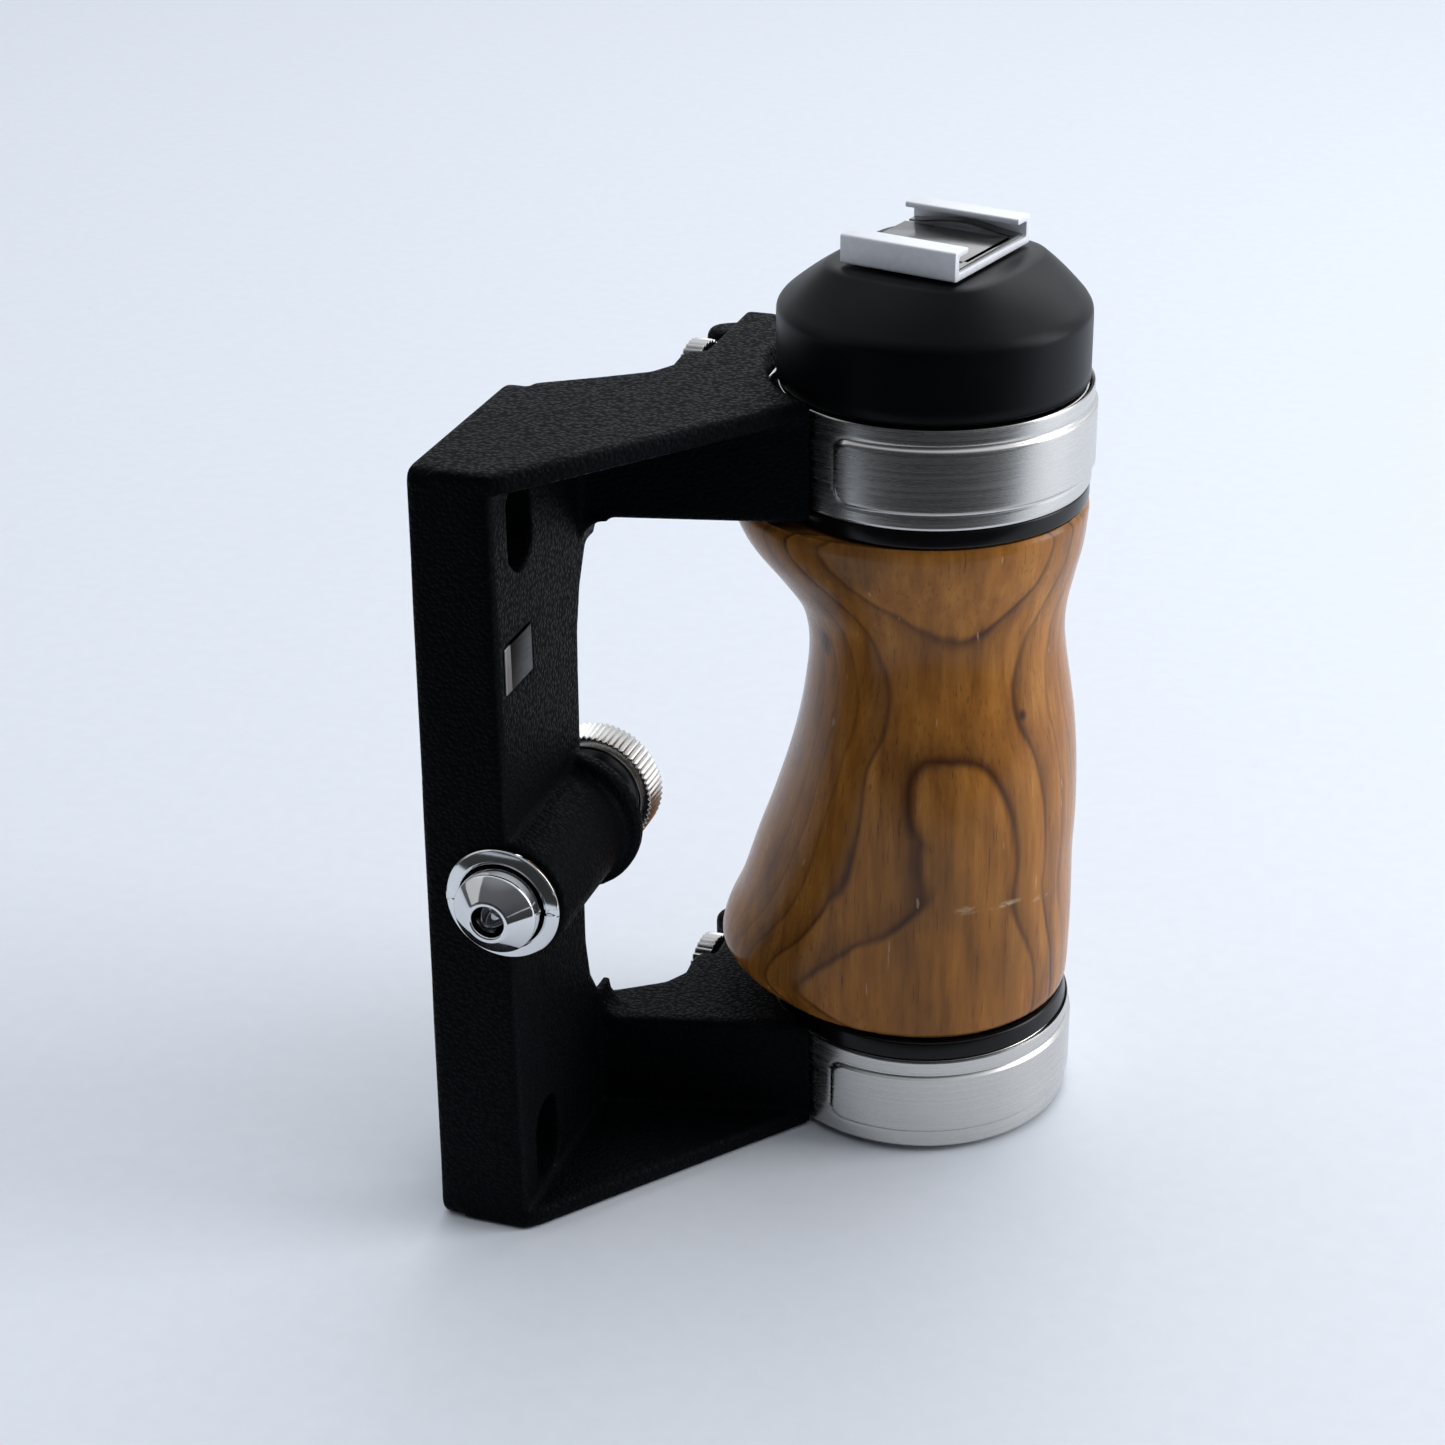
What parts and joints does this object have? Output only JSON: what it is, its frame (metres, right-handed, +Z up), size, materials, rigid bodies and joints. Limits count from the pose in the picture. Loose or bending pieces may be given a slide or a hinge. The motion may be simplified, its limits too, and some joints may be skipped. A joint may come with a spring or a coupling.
{
  "type": "camera hand grip bracket",
  "caption": "C-shaped black casting that bolts to a camera's side, with a swivelling shaped wooden grip held by clamp straps, a cold shoe on top and a chrome release button in front",
  "frame": {"origin": "centre of the foot plug's underside, on the axis the grip swivels about", "axes": "+Z up along the grip's swivel axis; +X from the camera plate towards the grip; +Y from the button side towards the cable side"},
  "size_m": [0.0767, 0.0862, 0.1323],
  "materials": {
    "black_crackle": "black crackle (wrinkle) paint over cast aluminium",
    "satin_black": "satin black paint",
    "gloss_ring": "semi-gloss black plastic",
    "oiled_wood": "semi-gloss oiled orange-brown hardwood with dark grain",
    "chrome": "polished chrome plate",
    "satin_chrome": "satin chrome plate",
    "strap_steel": "stainless band brushed along its length",
    "bright_steel": "turned bright steel",
    "dark_steel": "dark turned steel",
    "blank_plate": "blank satin aluminium, no lettering"
  },
  "bodies": {
    "frame": {"bracket_frame": "black_crackle", "name_plate": "blank_plate", "top_strap": "strap_steel", "top_strap_rivet": "bright_steel", "top_clamp_nut": "bright_steel", "top_clamp_stud": "bright_steel", "top_clamp_washer": "bright_steel", "bottom_strap": "strap_steel", "bottom_strap_rivet": "bright_steel", "bottom_clamp_nut": "bright_steel", "bottom_clamp_stud": "bright_steel", "bottom_clamp_washer": "bright_steel", "release_collar": "chrome", "rear_neck": "bright_steel"},
    "grip": {"wood_grip": "oiled_wood", "top_spacer": "gloss_ring", "top_journal": "bright_steel", "bottom_spacer": "gloss_ring", "bottom_journal": "bright_steel", "foot_plug": "satin_black", "tie_rod": "bright_steel", "cap": "satin_black", "shoe": "satin_chrome", "shoe_screw_1": "bright_steel", "shoe_screw_2": "bright_steel", "shoe_spring": "satin_chrome"},
    "button": {"release_button": "chrome", "release_plunger": "bright_steel", "plunger_clip": "bright_steel", "return_spring": "bright_steel"},
    "cable_wheel": {"cable_wheel": "chrome", "cable_wheel_insert": "dark_steel"},
    "top_wheel": {"top_clamp_wheel": "bright_steel"},
    "bottom_wheel": {"bottom_clamp_wheel": "bright_steel"}
  },
  "joints": [
    {"name": "grip_swivel", "type": "hinge", "parent": "frame", "child": "grip", "pos_m": [0, 0, 0], "axis": [0, 0, 1], "continuous": true},
    {"name": "button_press", "type": "slide", "parent": "frame", "child": "button", "axis": [0, 1, 0], "range_m": [0, 0.003], "stiffness_N_per_m": 400},
    {"name": "cable_wheel_turn", "type": "hinge", "parent": "frame", "child": "cable_wheel", "pos_m": [-0.0422, -0.0216, 0.0528], "axis": [0, 1, 0], "continuous": true},
    {"name": "top_wheel_turn", "type": "hinge", "parent": "frame", "child": "top_wheel", "pos_m": [-0.034, 0.00105, 0.1045], "axis": [1, 0, 0], "continuous": true},
    {"name": "bottom_wheel_turn", "type": "hinge", "parent": "frame", "child": "bottom_wheel", "pos_m": [-0.034, 0.00105, 0.0085], "axis": [1, 0, 0], "continuous": true}
  ]
}
